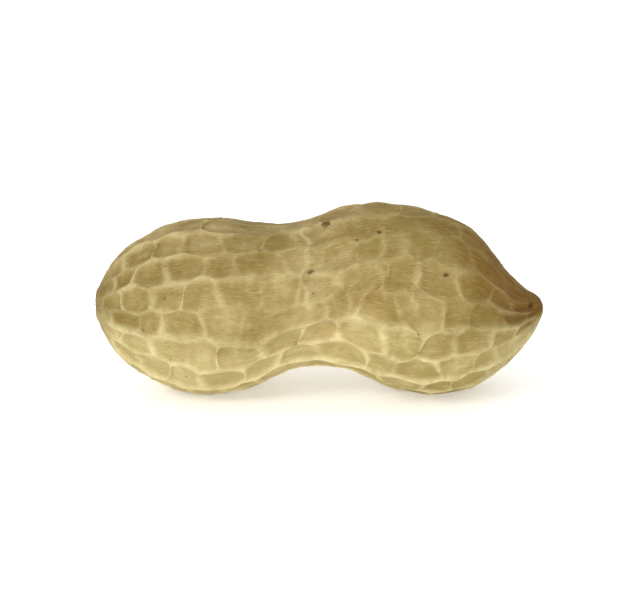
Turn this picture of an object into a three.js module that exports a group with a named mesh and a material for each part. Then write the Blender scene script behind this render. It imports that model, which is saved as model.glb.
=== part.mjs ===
// A two-seeded peanut in its shell: one dry pod, grown as a single piece, lying on its side.
// Its skin carries a net of veins: wavy lines from end to end, and short staggered ones between
// them, with a shallow cell inside every mesh of the net.
// Units are millimetres. +Z is up and +X runs along the pod, from the stem scar to the beak.
// The origin lies on the surface that the pod rests on, below the middle of its outer box.
import * as THREE from "three";
import { mergeVertices } from "three/addons/utils/BufferGeometryUtils.js";

// Driving dimensions of the pod.
const LENGTH = 40.25;
const SCAR_RADIUS = 0.9; // the round mark where the stem broke away
const SCAR_DEPTH = 0.35;
const LUMP = 0.12; // slow unevenness of the shell
const FLATTENED = 0.2; // how much of each round lobe is pressed flat underneath
const WORN_HEIGHT = 0.7; // the net fades out below this height, towards the resting spots

// Sections across the pod, from the stem scar to the beak.
//   at    place along the pod, as a share of its length
//   rise  height of the section's middle above the surface
//   side  how far the section's middle lies towards +Y
//   tall  half the height that the section would have if the ends didn't close
//   wide  half the width, in the same way
const SECTIONS = [
  { at: 0.0, rise: 8.1, side: 0.2, tall: 10.6, wide: 10.6 },
  { at: 0.13, rise: 7.97, side: 0.3, tall: 10.23, wide: 9.9 },
  { at: 0.25, rise: 7.9, side: 0.3, tall: 9.3, wide: 8.9 }, // stem lobe
  { at: 0.35, rise: 8.1, side: 0.1, tall: 7.8, wide: 7.6 },
  { at: 0.45, rise: 9.15, side: -0.2, tall: 6.6, wide: 6.7 }, // waist
  { at: 0.55, rise: 9.8, side: -0.3, tall: 7.3, wide: 7.2 },
  { at: 0.65, rise: 9.2, side: -0.3, tall: 8.7, wide: 8.2 },
  { at: 0.76, rise: 8.28, side: -0.1, tall: 9.65, wide: 9.0 }, // beak lobe
  { at: 0.85, rise: 7.7, side: 0.1, tall: 9.6, wide: 9.1 },
  { at: 0.92, rise: 6.9, side: 0.2, tall: 7.7, wide: 8.0 },
  { at: 0.97, rise: 7.22, side: 0.3, tall: 6.2, wide: 6.2 },
  { at: 1.0, rise: 7.8, side: 0.3, tall: 6.0, wide: 5.2 }, // beak
];

// The net of veins.
const VEINS = 18; // lengthwise lines round the pod, and every second one is a main rib
const ROWS = 15; // cells from end to end, between one line and the next
const FIRST_VEIN = THREE.MathUtils.degToRad(27); // round the pod, from +Y towards +Z
const CELL_DEPTH = 0.2; // from the crest of the veins to the floor of a cell
const RIB_HEIGHT = 0.13; // how much higher a main rib stands
const ZIGZAG = 0.08; // how far a short vein pulls a line aside, as a share of a cell
const TWIST = THREE.MathUtils.degToRad(12); // how far the lines turn round the beak lobe
const SWAY = THREE.MathUtils.degToRad(2.5); // how far a line wanders on its way
const SWAY_WAVE = 0.4; // one such wander, as a share of the length

// Fineness of the faceted skin.
const STEPS = 4; // facets across one cell, each way
const CROWDING = 0.07; // how much the facets close in on the veins, as a share of a cell
const EVENNESS = 0.85; // spreads the rows evenly over the tight ends and the long middle

const TURN = 2 * Math.PI;
const { lerp, smoothstep, euclideanModulo } = THREE.MathUtils;

const sectionAt = new THREE.CubicInterpolant(
  SECTIONS.map((s) => s.at),
  SECTIONS.flatMap((s) => [s.rise, s.side, s.tall, s.wide]),
  4,
);

// The place in the net of one corner of the skin.
//   across  from 0 to 1 over the cell, between two lengthwise lines
//   down    from 0 to 1 over the cell, between two short veins
function netPlace(column, ring) {
  const strip = Math.floor(column / STEPS);
  const row = ring / STEPS + (strip % 2) / 2;
  return { strip, across: column / STEPS - strip, row, down: row - Math.floor(row) };
}

// Closes in on both sides of a cell, where the veins are.
function crowded(share) {
  return share - CROWDING * Math.sin(TURN * share);
}

// Natural unevenness of the net, as shares of a cell.
function wobble(angle, row) {
  return {
    around: 0.05 * Math.sin(4 * angle + 1.9 * row + 2) + 0.04 * Math.sin(9 * angle - 2.7 * row),
    along: 0.13 * Math.sin(7 * angle + 2.3 * row) + 0.05 * Math.sin(5 * angle - 3.7 * row + 1),
  };
}

// A point of the smooth pod, for a line of the net and a distance from the scar, from 0 to 1.
function podPoint(angle, distance, point) {
  const fromMiddle = Math.asin(EVENNESS * (2 * distance - 1)) / Math.asin(EVENNESS);
  const slope = (Math.PI / 2) * (1 + fromMiddle);
  const along = (1 - Math.cos(slope)) / 2;
  const closing = Math.sin(slope); // 0 at both ends and 1 midway
  const [rise, side, tall, wide] = sectionAt.evaluate(along);
  const twist = TWIST * smoothstep(along, 0.5, 0.95);
  const turned = angle - twist - SWAY * Math.cos((TURN * along) / SWAY_WAVE + 3 * angle);
  const lump = LUMP * closing * Math.sin(2 * angle + 9 * along) * Math.sin(11 * along + angle);
  const y = side + (wide * closing + lump) * Math.cos(turned);
  const z = rise - FLATTENED + (tall * closing + lump) * Math.sin(turned);

  const fromScar = along < 0.5 ? (tall * closing) / SCAR_RADIUS : Infinity;
  const scar = SCAR_DEPTH * Math.exp(-(fromScar ** 4));
  return point.set(LENGTH * along + scar, y, z);
}

// How strongly the net shows: faint at the ends, over the waist, and on the beak lobe high up on
// the side that faces -Y.
function netStrength(angle, distance) {
  const up = Math.sin(angle);
  const waist = Math.exp(-(((distance - 0.41) / 0.08) ** 2)) * smoothstep(up, -0.5, 0.1);
  const facing = smoothstep(-Math.cos(angle), -0.4, 0.1);
  const beakLobe = smoothstep(distance, 0.5, 0.6) * smoothstep(up, 0.3, 0.7) * facing;
  const ends = smoothstep(distance, 0.04, 0.14) * smoothstep(1 - distance, 0.03, 0.12);
  return ends * (1 - 0.8 * waist) * (1 - 0.7 * beakLobe);
}

// Height of the net above the smooth pod.
function netHeight(column, ring) {
  const { strip, across, down } = netPlace(column, ring);
  const rib = across === 0 && strip % 2 === 0 ? RIB_HEIGHT : 0;
  const inCell = across > 0 && down > 0;
  const middle = Math.sin(Math.PI * across) * Math.sin(Math.PI * down);
  return inCell ? -CELL_DEPTH * lerp(0.75, 1, middle) : rib;
}

function podGeometry() {
  const columns = VEINS * STEPS;
  const rings = ROWS * STEPS;
  const ball = new THREE.SphereGeometry(1, columns, rings).rotateZ(Math.PI / 2);
  ball.deleteAttribute("normal");
  ball.deleteAttribute("uv");
  const skin = mergeVertices(ball, 1e-4);
  const places = skin.getAttribute("position");
  const heights = [];

  const point = new THREE.Vector3();
  for (let i = 0; i < places.count; i++) {
    point.fromBufferAttribute(places, i);
    const share = euclideanModulo(Math.atan2(point.z, point.y) / TURN, 1);
    const column = Math.round(share * columns) % columns;
    const ring = Math.round((Math.acos(-point.x) / Math.PI) * rings);
    const { strip, across, row, down } = netPlace(column, ring);

    // The lines are drawn towards the short veins that meet them, which makes them zigzag.
    const straight = FIRST_VEIN + (TURN * column) / columns;
    const uneven = wobble(straight, ring / STEPS);
    const zigzag = ZIGZAG * Math.cos(TURN * row) * (1 - 2 * across);
    const around = strip + crowded(across) + zigzag + uneven.around;
    const inside = Math.sin(Math.PI * across);
    const shift = inside * (crowded(down) - down) + uneven.along;
    const fromEnd = smoothstep(Math.min(ring, rings - ring), 0, 2 * STEPS);
    const angle = FIRST_VEIN + (TURN * around) / VEINS;
    const distance = (ring / STEPS + fromEnd * shift) / ROWS;

    podPoint(angle, distance, point);
    places.setXYZ(i, point.x, point.y, point.z);
    heights.push(netHeight(column, ring) * netStrength(angle, distance));
  }

  skin.computeVertexNormals();
  const normals = skin.getAttribute("normal");
  const outward = new THREE.Vector3();
  for (let i = 0; i < places.count; i++) {
    point.fromBufferAttribute(places, i);
    const worn = smoothstep(point.z, 0, WORN_HEIGHT);
    point.addScaledVector(outward.fromBufferAttribute(normals, i), heights[i] * worn);
    // The lowest stretch of each lobe is flat, where the pod lies on the surface.
    places.setXYZ(i, point.x, point.y, Math.max(point.z, 0));
  }

  skin.computeBoundingBox();
  const middle = skin.boundingBox.getCenter(new THREE.Vector3());
  skin.translate(-middle.x, -middle.y, 0);
  skin.computeVertexNormals();
  return skin;
}

const shell = new THREE.MeshStandardMaterial({ color: 0xb29e67, roughness: 0.85, metalness: 0 });
const pod = new THREE.Mesh(podGeometry(), shell);
pod.name = "pod";

const peanut = new THREE.Group();
peanut.add(pod);

export default peanut;
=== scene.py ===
"""A peanut in its shell, on a plain pale stage.

One dry two-seeded pod lies on its side, with its beak towards +X. Its skin is a fine ball that is
moulded to the pod and carved with the net of veins, and its material follows the same net.
"""

import math
from types import SimpleNamespace

import bmesh
import bpy
import numpy as np
from bpy.props import FloatProperty, FloatVectorProperty, IntProperty, PointerProperty
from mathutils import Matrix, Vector, noise


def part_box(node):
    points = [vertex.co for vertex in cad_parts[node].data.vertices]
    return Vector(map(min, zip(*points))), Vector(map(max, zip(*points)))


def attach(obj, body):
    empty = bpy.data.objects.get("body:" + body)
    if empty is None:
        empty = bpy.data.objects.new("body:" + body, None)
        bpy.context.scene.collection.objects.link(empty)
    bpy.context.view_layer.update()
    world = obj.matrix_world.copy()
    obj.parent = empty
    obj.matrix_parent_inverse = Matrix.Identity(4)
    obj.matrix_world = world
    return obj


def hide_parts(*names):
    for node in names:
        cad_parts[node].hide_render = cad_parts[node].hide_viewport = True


bl_info = {
    "name": "Peanut in its shell",
    "version": (1, 0, 0),
    "blender": (4, 5, 0),
    "location": "View3D > Sidebar > Peanut",
    "description": "Makes a two-seeded peanut pod and the pale stage it lies on",
    "category": "Add Mesh",
}

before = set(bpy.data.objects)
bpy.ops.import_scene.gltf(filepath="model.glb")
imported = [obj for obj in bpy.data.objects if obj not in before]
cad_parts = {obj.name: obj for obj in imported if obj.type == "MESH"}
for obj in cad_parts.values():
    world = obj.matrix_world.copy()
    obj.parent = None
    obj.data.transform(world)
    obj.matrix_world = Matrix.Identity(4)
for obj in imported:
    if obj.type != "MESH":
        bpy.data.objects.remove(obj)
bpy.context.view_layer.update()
POD_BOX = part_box("pod")

MM = 0.001
TURN = 2 * math.pi

# Sections across the pod, from the stem scar to the beak: place along the pod as a share of its
# length, then in millimetres the height and the side shift of the section's middle, and half its
# height and half its width where the ends don't close.
SECTIONS = np.array(
    (
        (0.0, 8.1, 0.2, 10.6, 10.6),
        (0.13, 7.97, 0.3, 10.23, 9.9),
        (0.25, 7.9, 0.3, 9.3, 8.9),  # stem lobe
        (0.35, 8.1, 0.1, 7.8, 7.6),
        (0.45, 9.15, -0.2, 6.6, 6.7),  # waist
        (0.55, 9.8, -0.3, 7.3, 7.2),
        (0.65, 9.2, -0.3, 8.7, 8.2),
        (0.76, 8.28, -0.1, 9.65, 9.0),  # beak lobe
        (0.85, 7.7, 0.1, 9.6, 9.1),
        (0.92, 6.9, 0.2, 7.7, 8.0),
        (0.97, 7.22, 0.3, 6.2, 6.2),
        (1.0, 7.8, 0.3, 6.0, 5.2),  # beak
    )
)
SCAR_RADIUS = 0.9  # mm, the round mark where the stem broke away
SCAR_DEPTH = 0.35
LUMP = 0.12  # slow unevenness of the shell
FLATTENED = 0.2  # how much of each round lobe is pressed flat underneath
WORN_HEIGHT = 0.7  # the net fades out below this height, towards the resting spots

# The layout of the net of veins, as in the frame's pod.
VEINS = 18  # lengthwise lines round the pod, and every second one is a main rib
ROWS = 15  # cells from end to end, between one line and the next
FIRST_VEIN = math.radians(27)  # round the pod, from +Y towards +Z
ZIGZAG = 0.08  # how far a short vein pulls a line aside, as a share of a cell
TWIST = math.radians(12)  # how far the lines turn round the beak lobe
SWAY = math.radians(2.5)  # how far a line wanders on its way
SWAY_WAVE = 0.4  # one such wander, as a share of the length
CROWDING = 0.07  # how much the facets close in on the veins, as a share of a cell
EVENNESS = 0.85  # spreads the rows evenly over the tight ends and the long middle

# Where the net fades, as shares of its rows, and how much of it is lost there.
WAIST = 0.41
WAIST_HALF = 0.08
WAIST_FADE = 0.8
BEAK_LOBE_FADE = 0.7

# Finer shape of the net, which only the visual skin has.
ROW_LENGTH = 3.3  # mm from one short vein to the next
WANDER = 1.7  # mm, size of the fine wandering of the veins
WANDER_AROUND = 0.07  # how far it goes, as shares of a cell
WANDER_ALONG = 0.075
PLAIN_FADE = 0.35  # how much more of the net is lost on the upper front of the beak lobe
FOOT = 1.9  # where dirt settles beside a vein, in half widths from its crest

# Widths of the main ribs, the other lines, the short veins and the stray ones, as shares of the
# width of a vein, and the most that half a vein may take of a cell.
MAIN_WIDTH = 1.3
LINE_WIDTH = 0.9
RUNG_WIDTH = 0.85
STRAY_WIDTH = 0.8
WIDEST_VEIN = 0.2

# An even tube that stands for the net, for noise and fibres that follow the veins, in millimetres.
TUBE_RADIUS = 8
TUBE_ROW = 3.2
FIBRE_STRETCH = (1, 1, 0.16)  # draws the fibres out along the pod

# Heights and depths on the skin, and the rim round the stem scar, in millimetres.
STRAY_HEIGHT = 0.12
DENTS = 0.06
PORES = 0.022
PIT_DEPTH = 0.14
RIM_HEIGHT = 0.16
RIM_RADIUS = 1.25
RIM_WIDTH = 0.3

# The slope above the beak, olive and brown and partly painted shade: where it starts along the top
# of the pod, and how fast it widens towards the beak.
SLOPE_START = 0.767
SLOPE_LEAN = 5

# Small dark marks: place along the pod, degrees up from the front, and radius in millimetres.
SPECKS = (
    (0.478, 33.5, 0.34),
    (0.769, 35, 0.32),
    (0.512, 75, 0.6),
    (0.626, 58, 0.28),
    (0.969, 39, 0.4),
)
# Radii of the specks that are scattered, and the seed of the scatter.
SPECK_RADII = (0.08, 0.2)
SPECK_SEED = 11
# Brownish patches of the husk, in the same way as the dark marks.
BLUSHES = (
    (0.53, -20, 2.4),
    (0.608, 9, 1.4),
    (0.893, -8, 1.1),
)
# Stray veins that run round the pod: place along it, the degrees up from the front where they
# start and end, and how strongly they show.
STRAYS = (
    (0.468, 4, 80, 1.0),
    (0.566, 0, 24, 0.6),
    (0.631, 8, 66, 0.5),
    (0.705, 2, 40, 0.8),
)

# The stage, in metres and watts.
FLOOR_HALF = 3.0
AIM = Vector((0, 0, 0.0085))  # the middle of the pod
SKY = 0.82
LENS = 100  # mm
# Soft lights: name, place, size and power.
LIGHTS = (
    ("key", (-0.24, -0.24, 0.24), 0.16, 0.55),
    ("front", (0.05, -0.4, 0.02), 0.3, 1.05),
    ("back", (-0.1, 0.4, 0.12), 0.3, 0.5),
)


def tone(code):
    """Linear colour from a six-digit colour code."""
    channels = [int(code[i : i + 2], 16) / 255 for i in (0, 2, 4)]
    return tuple(c / 12.92 if c <= 0.04045 else ((c + 0.055) / 1.055) ** 2.4 for c in channels)


# ---------------------------------------------------------------- settings


class PodSettings(bpy.types.PropertyGroup):
    """Sizes of the pod and of its net of veins."""

    length: FloatProperty(
        name="Length",
        description="Pod from the stem scar to the tip of the beak, before the scar is sunk",
        default=0.04025,
        unit="LENGTH",
    )
    cell_depth: FloatProperty(
        name="Cell depth",
        description="From the crest of the veins to the floor of a cell",
        default=0.00026,
        unit="LENGTH",
    )
    rib_height: FloatProperty(
        name="Rib height",
        description="How much higher a main rib stands than the other veins",
        default=0.00014,
        unit="LENGTH",
    )
    vein_width: FloatProperty(
        name="Vein width",
        description="Width of one vein of the net",
        default=0.00056,
        unit="LENGTH",
    )
    steps_across: IntProperty(
        name="Facets across a cell",
        description="Fineness of the skin round the pod",
        default=20,
    )
    steps_down: IntProperty(
        name="Facets along a cell",
        description="Fineness of the skin from end to end",
        default=18,
    )
    specks: IntProperty(
        name="Specks",
        description="Small dark pits scattered over the husk",
        default=70,
    )


class ShellSettings(bpy.types.PropertyGroup):
    """Colours of the husk, and the painted light and shade on it."""

    cell: FloatVectorProperty(
        name="Cell",
        description="Colour of the floor of the cells",
        subtype="COLOR",
        default=tone("998450"),
    )
    vein: FloatVectorProperty(
        name="Vein",
        description="Colour of the raised veins",
        subtype="COLOR",
        default=tone("c1b07e"),
    )
    # Painted light: the lower half of the pod is painted lighter, standing in for light thrown up
    # by the bright floor.
    painted_light_below: FloatVectorProperty(
        name="Paleness",
        description="How many times lighter the husk is on the lower half of the pod",
        default=(1.36, 1.46, 1.62),
    )
    # Also the colour of the painted shade on the slope above the beak and on the upper beak lobe.
    olive_and_shade: FloatVectorProperty(
        name="Olive",
        description="Duller patches of the husk",
        subtype="COLOR",
        default=tone("837036"),
    )
    blush: FloatVectorProperty(
        name="Blush",
        description="Brownish patches of the husk",
        subtype="COLOR",
        default=tone("a07c44"),
    )
    brown: FloatVectorProperty(
        name="Brown",
        description="Dark fibres at the beak and in the stem scar",
        subtype="COLOR",
        default=tone("744e14"),
    )
    soil: FloatVectorProperty(
        name="Soil",
        description="Specks and the dirt left in the pits",
        subtype="COLOR",
        default=tone("4a3010"),
    )


class StageSettings(bpy.types.PropertyGroup):
    """The floor, the light and the camera."""

    floor: FloatVectorProperty(
        name="Floor",
        description="Colour of the pale floor",
        subtype="COLOR",
        default=(0.95, 0.95, 0.94),
    )
    glow: FloatProperty(
        name="Floor glow",
        description="Light that the floor gives off, as a light table does",
        default=0.26,
    )
    camera_height: FloatProperty(
        name="Camera angle",
        description="How far the camera looks down",
        subtype="ANGLE",
        default=math.radians(17.5),
    )
    camera_distance: FloatProperty(
        name="Camera distance",
        description="From the lens to the middle of the pod",
        unit="LENGTH",
        default=0.16,
    )


# ---------------------------------------------------------------- shape of the pod


def smoothstep(value, low, high):
    """0 below low, 1 above high, and an even ramp between them."""
    share = np.clip((value - low) / (high - low), 0, 1)
    return share * share * (3 - 2 * share)


def bell(value):
    """1 at 0, and close to 0 beyond 2 on both sides."""
    return np.exp(-(value**2))


def section_at(along):
    """Smooth sections between the stations, as an array of rise, side, tall and wide."""
    at = SECTIONS[:, 0]
    values = SECTIONS[:, 1:]
    slopes = np.diff(values, axis=0) / np.diff(at)[:, None]
    bends = np.vstack((slopes[:1], (slopes[:-1] + slopes[1:]) / 2, slopes[-1:]))
    k = np.clip(np.searchsorted(at, along, side="right") - 1, 0, len(at) - 2)
    gap = (at[k + 1] - at[k])[:, None]
    p = (along - at[k])[:, None] / gap
    start = values[k] * (1 + 2 * p) * (1 - p) ** 2 + gap * bends[k] * p * (1 - p) ** 2
    end = values[k + 1] * p * p * (3 - 2 * p) + gap * bends[k + 1] * p * p * (p - 1)
    return (start + end).T


def pod_points(angle, distance, length):
    """Points of the smooth pod in millimetres, with their place along it and half its width."""
    slope = (math.pi / 2) * (1 + np.arcsin(EVENNESS * (2 * distance - 1)) / math.asin(EVENNESS))
    along = (1 - np.cos(slope)) / 2
    closing = np.sin(slope)
    rise, side, tall, wide = section_at(along)
    twist = TWIST * smoothstep(along, 0.5, 0.95)
    turned = angle - twist - SWAY * np.cos(TURN * along / SWAY_WAVE + 3 * angle)
    lump = LUMP * closing * np.sin(2 * angle + 9 * along) * np.sin(11 * along + angle)
    y = side + (wide * closing + lump) * np.cos(turned)
    z = rise - FLATTENED + (tall * closing + lump) * np.sin(turned)
    from_scar = np.where(along < 0.5, tall * closing / SCAR_RADIUS, 9)
    scar = SCAR_DEPTH * np.exp(-(from_scar**4))
    points = np.stack((length * along + scar, y, z), axis=1)
    return points, along, wide * closing


def crowded(share):
    """Closes in on both sides of a cell, where the veins are."""
    return share - CROWDING * np.sin(TURN * share)


def net_strength(angle, distance):
    """How strongly the net shows: faint at the ends, over the waist and high on the beak lobe."""
    up = np.sin(angle)
    waist = bell((distance - WAIST) / WAIST_HALF) * smoothstep(up, -0.5, 0.1)
    facing = smoothstep(-np.cos(angle), -0.4, 0.1)
    beak_lobe = smoothstep(distance, 0.5, 0.6) * smoothstep(up, 0.3, 0.7) * facing
    ends = smoothstep(distance, 0.04, 0.14) * smoothstep(1 - distance, 0.03, 0.12)
    return ends * (1 - WAIST_FADE * waist) * (1 - BEAK_LOBE_FADE * beak_lobe)


def scatter(first, second):
    """A steady unevenness from 0 to 1 for a pair of whole numbers."""
    mixed = np.sin(first * 12.9898 + second * 78.233) * 43758.5453
    return mixed - np.floor(mixed)


def unevenness(points, size, octaves, seed):
    """Natural noise from about -1 to 1, with lumps of the given size in millimetres."""
    shift = Vector((seed * 17.3, seed * 5.1, seed * 9.7))
    return np.array([noise.fractal(Vector(p) / size + shift, 1.0, 2.0, octaves) for p in points])


def spots(points, marks, length):
    """1 in the middle of each mark on the skin and 0 outside it."""
    mask = np.zeros(len(points))
    for along, degrees, radius in marks:
        rise, side, tall, wide = (v[0] for v in section_at(np.array([along])))
        closing = 2 * math.sqrt(along * (1 - along))
        up = math.radians(degrees)
        y = side - wide * closing * math.cos(up)
        z = rise - FLATTENED + tall * closing * math.sin(up)
        away = np.linalg.norm(points - np.array((length * along, y, z)), axis=1)
        mask = np.maximum(mask, bell(away / radius))
    return mask


def stray_veins(up, along, length, half_width):
    """Close to 1 on the crests of the stray veins and 0 away from them. Up is in degrees."""
    mask = np.zeros(len(along))
    for place, low, high, strength in STRAYS:
        wave = 0.007 * np.sin(up / 6.5 + 40 * place) + 0.004 * np.sin(up / 2.9)
        away = (along - place - wave) * length
        ends = smoothstep(up, low - 3, low + 5) * (1 - smoothstep(up, high - 8, high + 3))
        mask = np.maximum(mask, strength * ends * bell(away / half_width))
    return mask


def all_specks(count):
    """The large dark marks, and small ones scattered over the pod."""
    rng = np.random.default_rng(SPECK_SEED)
    places = rng.uniform(0.05, 0.95, count)
    degrees = rng.uniform(-180, 180, count)
    radii = rng.uniform(*SPECK_RADII, count)
    return SPECKS + tuple(zip(places, degrees, radii))


def read_vectors(values, name):
    """An array with a row of three numbers for each corner."""
    flat = np.empty(len(values) * 3)
    values.foreach_get(name, flat)
    return flat.reshape(-1, 3)


def place_corners(mesh, points):
    """Moves the corners of the mesh to points in millimetres."""
    mesh.vertices.foreach_set("co", (points * MM).ravel())
    mesh.update()


def fine_ball(columns, rings):
    """A ball with a pole for each end of the pod, and the column and ring of its corners."""
    bm = bmesh.new()
    bmesh.ops.create_uvsphere(bm, u_segments=columns, v_segments=rings, radius=1)
    mesh = bpy.data.meshes.new("peanut_pod")
    bm.to_mesh(mesh)
    bm.free()
    x, y, z = read_vectors(mesh.vertices, "co").T
    column = np.round((np.arctan2(y, x) / TURN) % 1 * columns) % columns
    ring = np.round(np.arccos(np.clip(-z, -1, 1)) / math.pi * rings)
    return mesh, column, ring


def wobble(angle, level):
    """Slow unevenness of the net, round the pod and along it, as shares of a cell."""
    around = 0.05 * np.sin(4 * angle + 1.9 * level + 2) + 0.04 * np.sin(9 * angle - 2.7 * level)
    along = 0.13 * np.sin(7 * angle + 2.3 * level) + 0.05 * np.sin(5 * angle - 3.7 * level + 1)
    return around, along


def even_tube(angle, level):
    """Points on the even tube that stands for the net."""
    places = (TUBE_RADIUS * np.cos(angle), TUBE_RADIUS * np.sin(angle), TUBE_ROW * level)
    return np.stack(places, axis=1)


def net_places(column, ring, settings):
    """Where each corner of the ball lies in the net, and where that is on the pod."""
    strip = np.floor(column / settings.steps_across)
    across = column / settings.steps_across - strip
    level = ring / settings.steps_down
    row = level + (strip % 2) / 2
    down = row - np.floor(row)
    near_across = crowded(across)
    near_down = down + np.sin(math.pi * across) * (crowded(down) - down)

    # The veins wander, slowly as in the frame and finely on top of it.
    straight = FIRST_VEIN + TURN * column / (VEINS * settings.steps_across)
    tube = even_tube(straight, level)
    around_drift, along_drift = wobble(straight, level)
    around_drift += WANDER_AROUND * unevenness(tube, size=WANDER, octaves=2, seed=1)
    along_drift += WANDER_ALONG * unevenness(tube, size=WANDER, octaves=2, seed=2)
    zigzag = ZIGZAG * np.cos(TURN * row) * (1 - 2 * across)
    from_end = smoothstep(np.minimum(level, ROWS - level), 0, 2)
    around = strip + near_across + zigzag + around_drift
    return SimpleNamespace(
        strip=strip,
        across=across,
        near_across=near_across,
        level=level,
        row=row,
        down=down,
        near_down=near_down,
        tube=tube,
        angle=FIRST_VEIN + TURN * around / VEINS,
        distance=(level + from_end * (near_down - down + along_drift)) / ROWS,
    )


def vein_crests(net, radius, half_vein):
    """Two crossing families of rounded veins: their crests, the main ribs, and their feet."""
    cell_width = TURN / VEINS * np.maximum(radius, 0.5)
    uneven_width = 1 + 0.3 * unevenness(net.tube, size=2.5, octaves=2, seed=3)
    line = np.where(net.across < 0.5, net.strip, (net.strip + 1) % VEINS)
    main = (line % 2) == 0
    line_half = half_vein * np.where(main, MAIN_WIDTH, LINE_WIDTH) * uneven_width
    line_half = np.minimum(line_half, WIDEST_VEIN * cell_width)
    line_strength = np.where(main, 1.0, 0.72 + 0.28 * np.sin(2.1 * net.level + 2.7 * line))
    to_line = np.minimum(net.near_across, 1 - net.near_across) * cell_width
    lines = line_strength * bell(to_line / line_half)

    rung = np.where(net.down < 0.5, np.floor(net.row), np.floor(net.row) + 1)
    rung_strength = 0.35 + 0.65 * smoothstep(scatter(net.strip, rung), 0.05, 0.45)
    to_rung = np.minimum(net.near_down, 1 - net.near_down) * ROW_LENGTH
    rungs = rung_strength * bell(to_rung / (RUNG_WIDTH * half_vein * uneven_width))

    # Only one side of a vein has dirt at its foot.
    line_foot = bell(to_line / line_half - FOOT) * (net.across > 0.5)
    rung_foot = bell(to_rung / half_vein - FOOT) * (net.down < 0.5)
    return SimpleNamespace(
        crest=1 - (1 - lines) * (1 - rungs),
        rib=main * lines,
        foot=np.maximum(rung_foot, 0.8 * line_foot),
    )


def write_masks(mesh, grain, **masks):
    """Keeps what the material needs with the corners: where each finish, painted light and painted
    shade shows, and the grain.
    """
    for name, values in masks.items():
        layer = mesh.attributes.new(name, "FLOAT", "POINT")
        layer.data.foreach_set("value", values)
    layer = mesh.attributes.new("grain", "FLOAT_VECTOR", "POINT")
    layer.data.foreach_set("vector", grain.ravel())


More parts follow.
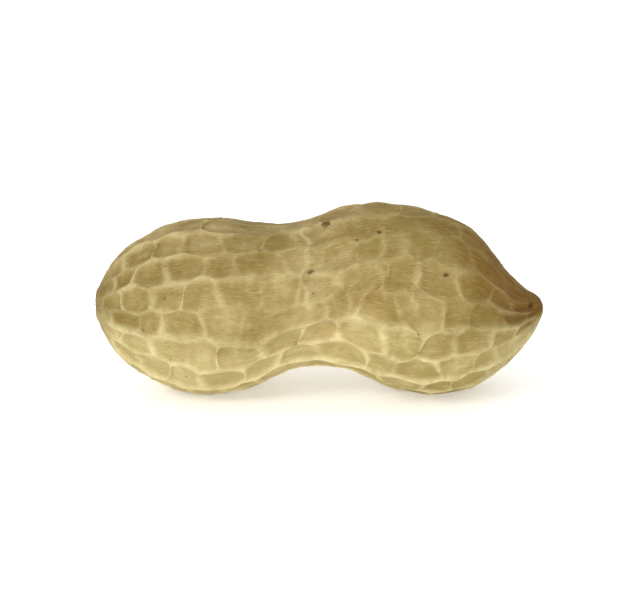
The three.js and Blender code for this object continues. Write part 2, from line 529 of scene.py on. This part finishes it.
def moulded_pod(settings):
    """The ball's corners moved to the pod, with the masks that the husk's material needs."""
    mesh, column, ring = fine_ball(VEINS * settings.steps_across, ROWS * settings.steps_down)
    length = settings.length / MM
    half_vein = settings.vein_width / MM / 2
    net = net_places(column, ring, settings)
    base, along, radius = pod_points(net.angle, net.distance, length)
    veins = vein_crests(net, radius, half_vein)
    place_corners(mesh, base)
    normals = read_vectors(mesh.vertex_normals, "vector")

    # Which way each corner faces: up from -1 to 1, with some noise, and towards the front.
    turned = net.angle - TWIST * smoothstep(along, 0.5, 0.95)
    up = np.sin(turned) + 0.35 * unevenness(base, size=4.0, octaves=3, seed=8)
    front = -np.cos(turned)
    mostly_front = 0.65 + 0.35 * front
    degrees_up = np.degrees(np.arctan2(np.sin(net.angle), -np.cos(net.angle)))

    # The net is fainter still on the plain upper front of the beak lobe.
    plain = smoothstep(along, 0.5, 0.6) * (1 - smoothstep(along, 0.86, 0.94))
    plain *= smoothstep(up, -0.4, 0.1) * smoothstep(front, -0.2, 0.4)
    still_shown = 1 - PLAIN_FADE * plain
    strength = net_strength(net.angle, net.distance) * still_shown
    stray = stray_veins(degrees_up, along, length, STRAY_WIDTH * half_vein)

    # No two cells are sunk or toned alike.
    middle = np.sin(math.pi * net.near_across) * np.sin(math.pi * np.clip(net.near_down, 0, 1))
    cell_tone = (scatter(net.strip + 40, np.floor(net.row)) - 0.5) * middle
    sunk = settings.cell_depth / MM * (0.7 + 0.3 * middle + 0.5 * cell_tone)
    rib = settings.rib_height / MM * veins.rib
    soiled = smoothstep(scatter(net.strip + 7, np.floor(net.row)), 0.3, 0.85)

    # The beak is fibrous and brown, with painted shade on its top side, and the slope above it is
    # olive and brown, partly painted shade. The lower half is pale, as painted light from the
    # bright floor.
    beak = smoothstep(along, 0.86, 0.985)
    # Brown fibres at the beak, with painted shade: browner on its top side and lighter below.
    brown_and_top_shade = smoothstep(along + 0.12 * up, 0.86, 1.04) * mostly_front
    brown_and_top_shade *= 0.2 + 0.8 * smoothstep(up, -0.3, 0.75)
    # The slope above the beak: olive and brown, partly painted shade from above.
    slope = smoothstep(up + SLOPE_LEAN * (along - SLOPE_START), 0.75, 1.15) * mostly_front
    slope *= smoothstep(up, -0.5, 0.1)
    # Painted shade: olive over the upper half of the beak lobe, darker on top.
    dull = smoothstep(along, 0.5, 0.72) * smoothstep(up, -0.3, 0.2)
    # Painted light: lighter towards the bottom of the pod, for the light thrown up by the floor.
    pale = smoothstep(-up, -0.2, 0.45) * (1 - 0.3 * smoothstep(along, 0.55, 0.75))

    # The stem scar is dark in the middle, inside a low rim.
    at_stem = along < 0.2
    stem = 0.75 - 0.4 * smoothstep(radius, 0.7, 1.5) - 0.35 * smoothstep(radius, 1.3, 4.5)
    stem = at_stem * stem
    rim = at_stem * bell((radius - RIM_RADIUS) / RIM_WIDTH)

    grain = even_tube(net.angle, ROWS * net.distance)
    fibres = unevenness(grain * FIBRE_STRETCH, size=0.5, octaves=2, seed=5)
    dents = unevenness(base, size=1.8, octaves=3, seed=4)
    pores = unevenness(base, size=0.55, octaves=2, seed=6)
    speck = spots(base, all_specks(settings.specks), length)

    height = strength * (rib - sunk * (1 - veins.crest))
    height += STRAY_HEIGHT * stray + RIM_HEIGHT * rim - PIT_DEPTH * speck
    height += DENTS * dents + PORES * pores
    height += (0.02 + 0.36 * beak * (1 - beak) + 0.05 * stem) * fibres

    # The lowest stretch of each lobe is flat, and the pod is as far along and across as its node.
    worn = smoothstep(base[:, 2], 0, WORN_HEIGHT)
    points = base + normals * (height * worn)[:, None]
    points[:, 2] = np.maximum(points[:, 2], 0)
    centre = (points.min(axis=0) + points.max(axis=0)) / 2
    node_centre = np.array(POD_BOX).mean(axis=0) / MM
    points[:, :2] += (node_centre - centre)[:2]
    place_corners(mesh, points)

    write_masks(
        mesh,
        grain,
        vein=np.maximum(veins.crest * (0.25 + 0.75 * strength) * still_shown, stray),
        cell=0.5 + cell_tone,
        speck=speck,
        blush=spots(base, BLUSHES, length),
        dirt=veins.foot * (1 - veins.crest) * strength * soiled,
        beak=brown_and_top_shade,
        slope=slope,
        dull=dull,
        # pale: painted light on the lower half
        pale=pale,
        stem=stem,
    )
    mesh.polygons.foreach_set("use_smooth", np.ones(len(mesh.polygons), bool))
    return mesh


# ---------------------------------------------------------------- materials


def fresh_material(name):
    material = bpy.data.materials.new(name)
    material.use_nodes = True
    nodes = material.node_tree.nodes
    return material, nodes, material.node_tree.links, nodes["Principled BSDF"]


def read_mask(nodes, name):
    node = nodes.new("ShaderNodeAttribute")
    node.attribute_name = name
    return node.outputs["Fac"]


def patches(nodes, links, where, scale, detail, roughness):
    node = nodes.new("ShaderNodeTexNoise")
    node.inputs["Scale"].default_value = scale
    node.inputs["Detail"].default_value = detail
    node.inputs["Roughness"].default_value = roughness
    links.new(where, node.inputs["Vector"])
    return node.outputs["Fac"]


def spread(nodes, links, value, low, high, to_low, to_high):
    """A soft ramp: to_low where the value is low, and to_high where it is high."""
    node = nodes.new("ShaderNodeMapRange")
    node.interpolation_type = "SMOOTHSTEP"
    for name, number in (
        ("From Min", low),
        ("From Max", high),
        ("To Min", to_low),
        ("To Max", to_high),
    ):
        node.inputs[name].default_value = number
    links.new(value, node.inputs["Value"])
    return node.outputs["Result"]


def combine(nodes, links, operation, first, second):
    node = nodes.new("ShaderNodeMath")
    node.operation = operation
    for socket, value in zip(node.inputs, (first, second)):
        if isinstance(value, (int, float)):
            socket.default_value = value
        else:
            links.new(value, socket)
    return node.outputs["Value"]


def lay_over(nodes, links, under, over, mask, blend="MIX"):
    """A colour laid over another where the mask shows it. Under may be a colour or a socket."""
    node = nodes.new("ShaderNodeMix")
    node.data_type = "RGBA"
    node.blend_type = blend
    factor, below, above = node.inputs[0], node.inputs[6], node.inputs[7]
    if isinstance(under, bpy.types.NodeSocket):
        links.new(under, below)
    else:
        below.default_value = (*under, 1)
    above.default_value = (*over, 1)
    links.new(mask, factor)
    return node.outputs[2]


def husk_material(colours):
    """Dry, papery husk: pale veins, duller cells, long fibres, specks and a brown beak, with
    painted shade on top and painted light on the lower half.
    """
    material, nodes, links, surface = fresh_material("dry husk")
    place = nodes.new("ShaderNodeTexCoord").outputs["Object"]
    grain = nodes.new("ShaderNodeAttribute")
    grain.attribute_name = "grain"
    stretch = nodes.new("ShaderNodeMapping")
    stretch.inputs["Scale"].default_value = FIBRE_STRETCH
    links.new(grain.outputs["Vector"], stretch.inputs["Vector"])
    drawn_out = stretch.outputs["Vector"]

    broad = patches(nodes, links, place, scale=120, detail=3, roughness=0.6)
    mottle = patches(nodes, links, place, scale=620, detail=6, roughness=0.65)
    fine = patches(nodes, links, place, scale=3200, detail=5, roughness=0.75)
    fibres = patches(nodes, links, drawn_out, scale=2.4, detail=6, roughness=0.7)
    threads = patches(nodes, links, drawn_out, scale=8.0, detail=3, roughness=0.6)
    cell = read_mask(nodes, "cell")

    def broken(name, texture, low, high, weak, strong):
        """A soft ramp of the texture, where the mask of that name is or else everywhere."""
        ramp = spread(nodes, links, texture, low, high, weak, strong)
        return combine(nodes, links, "MULTIPLY", read_mask(nodes, name), ramp) if name else ramp

    # Colours from the bottom up. Each shows where its mask is, from weak to strong as the texture
    # goes from low to high.
    colour = tuple(colours.cell)
    for laid, name, texture, low, high, weak, strong in (
        (colours.olive_and_shade, None, broad, 0.42, 0.66, 0.0, 1.0),
        (colours.vein, None, mottle, 0.46, 0.8, 0.0, 0.6),
        (colours.olive_and_shade, None, cell, 0.5, 0.95, 0.0, 0.5),
        (colours.vein, None, cell, 0.5, 0.05, 0.0, 0.4),
        (colours.blush, "blush", mottle, 0.3, 0.62, 0.2, 0.5),
        # Painted shade on the upper half of the beak lobe.
        (colours.olive_and_shade, "dull", broad, 0.3, 0.6, 0.3, 0.5),
        # The slope above the beak: olive and brown, partly painted shade.
        (colours.olive_and_shade, "slope", mottle, 0.3, 0.6, 0.6, 1.0),
        (colours.brown, "slope", fibres, 0.3, 0.6, 0.12, 0.45),
        (colours.brown, None, mottle, 0.52, 0.24, 0.0, 0.42),
        (colours.brown, "dirt", mottle, 0.38, 0.6, 0.1, 0.55),
        (colours.vein, "vein", mottle, 0.3, 0.62, 0.35, 0.95),
        (colours.brown, None, fibres, 0.54, 0.78, 0.0, 0.4),
        (colours.brown, None, threads, 0.54, 0.74, 0.0, 0.35),
        (colours.vein, None, threads, 0.46, 0.28, 0.0, 0.35),
        # Brown fibres at the beak, with painted shade on its top side.
        (colours.brown, "beak", fibres, 0.3, 0.55, 0.3, 1.0),
        (colours.brown, "stem", fine, 0.3, 0.6, 0.4, 0.95),
        (colours.brown, None, fine, 0.58, 0.8, 0.0, 0.5),
        (colours.vein, None, fine, 0.42, 0.22, 0.0, 0.5),
        # Painted light: paler on the lower half.
        (colours.vein, "pale", fine, 0.3, 0.7, 0.12, 0.3),
    ):
        shown_where = broken(name, texture, low, high, weak, strong)
        colour = lay_over(nodes, links, colour, laid, shown_where)
    # Painted light: the lower half is multiplied lighter.
    pale = broken("pale", broad, 0.35, 0.6, 0.7, 1.0)
    colour = lay_over(nodes, links, colour, colours.painted_light_below, pale, "MULTIPLY")

    # The specks have ragged edges.
    ragged = combine(nodes, links, "MULTIPLY", combine(nodes, links, "SUBTRACT", fine, 0.5), 1.6)
    ragged = combine(nodes, links, "ADD", read_mask(nodes, "speck"), ragged)
    speck = spread(nodes, links, ragged, 0.35, 0.95, 0.0, 0.9)
    colour = lay_over(nodes, links, colour, colours.soil, speck)
    links.new(colour, surface.inputs["Base Color"])

    matt = spread(nodes, links, mottle, 0.3, 0.7, 0.78, 0.97)
    links.new(matt, surface.inputs["Roughness"])
    surface.inputs["Specular IOR Level"].default_value = 0.2

    relief = combine(nodes, links, "MULTIPLY", threads, 0.5)
    relief = combine(nodes, links, "ADD", relief, combine(nodes, links, "MULTIPLY", fine, 0.6))
    relief = combine(nodes, links, "ADD", relief, fibres)
    bump = nodes.new("ShaderNodeBump")
    bump.inputs["Strength"].default_value = 0.9
    bump.inputs["Distance"].default_value = 0.0002
    links.new(relief, bump.inputs["Height"])
    links.new(bump.outputs["Normal"], surface.inputs["Normal"])
    return material


def floor_material(settings):
    """Matt and pale, and glowing a little."""
    material, *_, surface = fresh_material("pale floor")
    surface.inputs["Base Color"].default_value = (*settings.floor, 1)
    surface.inputs["Emission Color"].default_value = (1, 1, 1, 1)
    surface.inputs["Emission Strength"].default_value = settings.glow
    surface.inputs["Roughness"].default_value = 0.9
    surface.inputs["Specular IOR Level"].default_value = 0.1
    return material


# ---------------------------------------------------------------- operators


def shown(name, mesh, material):
    """Puts a finished mesh into the scene, at the origin, with its material."""
    piece = bpy.data.objects.new(name, mesh)
    bpy.context.scene.collection.objects.link(piece)
    mesh.materials.append(material)
    return piece


class PEANUT_OT_pod(bpy.types.Operator):
    """Moulds the pod, carves its net of veins and gives it the husk"""

    bl_idname = "peanut.pod"
    bl_label = "Pod"

    def execute(self, context):
        scene = context.scene
        mesh = moulded_pod(scene.peanut_pod)
        pod = shown("peanut_pod", mesh, husk_material(scene.peanut_shell))
        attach(pod, "root")
        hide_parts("pod")
        return {"FINISHED"}


def soft_light(name, place, size, power):
    """A round lamp that shines at the middle of the pod."""
    data = bpy.data.lights.new(name, "AREA")
    data.shape = "DISK"
    data.size = size
    data.energy = power
    lamp = bpy.data.objects.new(name, data)
    lamp.location = place
    lamp.rotation_euler = (AIM - Vector(place)).to_track_quat("-Z", "Y").to_euler()
    bpy.context.scene.collection.objects.link(lamp)


class PEANUT_OT_stage(bpy.types.Operator):
    """Lays the pale floor, sets the soft light and places the camera"""

    bl_idname = "peanut.stage"
    bl_label = "Stage"

    def execute(self, context):
        scene = context.scene
        settings = scene.peanut_stage
        bm = bmesh.new()
        bmesh.ops.create_grid(bm, x_segments=1, y_segments=1, size=FLOOR_HALF)
        mesh = bpy.data.meshes.new("floor")
        bm.to_mesh(mesh)
        bm.free()
        floor = shown("floor", mesh, floor_material(settings))

        world = bpy.data.worlds.new("studio")
        world.use_nodes = True
        background = world.node_tree.nodes["Background"]
        background.inputs["Color"].default_value = (1, 1, 1, 1)
        background.inputs["Strength"].default_value = SKY
        scene.world = world

        for light in LIGHTS:
            soft_light(*light)

        data = bpy.data.cameras.new("camera")
        data.lens = LENS
        data.clip_start = 0.01
        data.clip_end = 20
        camera = bpy.data.objects.new("camera", data)
        away = settings.camera_distance
        up = settings.camera_height
        camera.location = AIM + Vector((0, -away * math.cos(up), away * math.sin(up)))
        camera.rotation_euler = (math.pi / 2 - up, 0, 0)
        scene.collection.objects.link(camera)
        scene.camera = camera
        scene.view_settings.view_transform = "Standard"
        return {"FINISHED"}


class PEANUT_PT_panel(bpy.types.Panel):
    """Lists the pod and the stage with their settings"""

    bl_idname = "PEANUT_PT_panel"
    bl_label = "Peanut"
    bl_space_type = "VIEW_3D"
    bl_region_type = "UI"
    bl_category = "Peanut"

    def draw(self, context):
        scene = context.scene
        for operator, groups in (
            ("peanut.pod", (scene.peanut_pod, scene.peanut_shell)),
            ("peanut.stage", (scene.peanut_stage,)),
        ):
            box = self.layout.box()
            for group in groups:
                for name in group.bl_rna.properties.keys():
                    if name not in ("rna_type", "name"):
                        box.prop(group, name)
            box.operator(operator)


CLASSES = (
    PodSettings,
    ShellSettings,
    StageSettings,
    PEANUT_OT_pod,
    PEANUT_OT_stage,
    PEANUT_PT_panel,
)


def register():
    for cls in CLASSES:
        bpy.utils.register_class(cls)
    bpy.types.Scene.peanut_pod = PointerProperty(type=PodSettings)
    bpy.types.Scene.peanut_shell = PointerProperty(type=ShellSettings)
    bpy.types.Scene.peanut_stage = PointerProperty(type=StageSettings)


def unregister():
    del bpy.types.Scene.peanut_stage
    del bpy.types.Scene.peanut_shell
    del bpy.types.Scene.peanut_pod
    for cls in reversed(CLASSES):
        bpy.utils.unregister_class(cls)


def main():
    register()
    bpy.ops.peanut.pod()
    bpy.ops.peanut.stage()
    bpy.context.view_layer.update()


if __name__ == "__main__":
    main()
